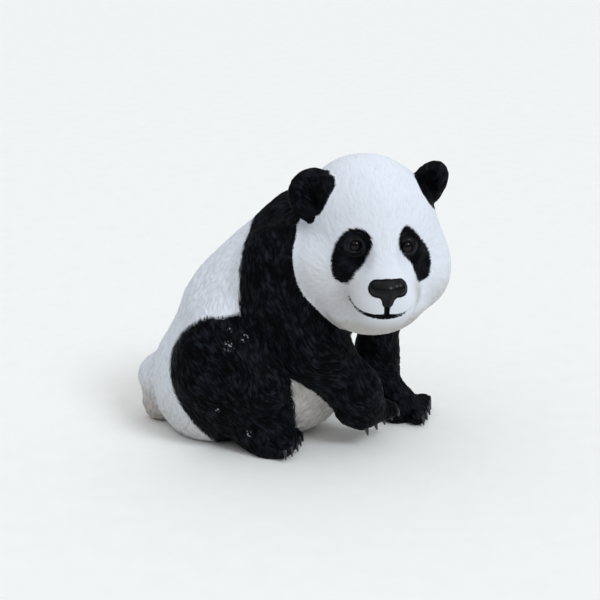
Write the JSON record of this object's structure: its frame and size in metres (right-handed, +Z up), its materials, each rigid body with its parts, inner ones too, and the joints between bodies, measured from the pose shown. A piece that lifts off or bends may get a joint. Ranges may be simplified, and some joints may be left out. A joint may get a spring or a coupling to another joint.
{
  "type": "panda figurine",
  "caption": "Seated panda figurine, cast in one piece, head turned over its right shoulder and right front paw lifted.",
  "frame": {"origin": "on the floor under the middle of the figure's outline seen from above", "axes": "+Z up, the body faces -Y, the panda's left side is +X"},
  "size_m": [0.2064, 0.308, 0.2801],
  "materials": {
    "painted_resin": "hand-painted cast resin, matte fur in black and white, glossy eyes, nose and claws"
  },
  "bodies": {
    "root": {"panda_figurine": "painted_resin"}
  },
  "joints": []
}
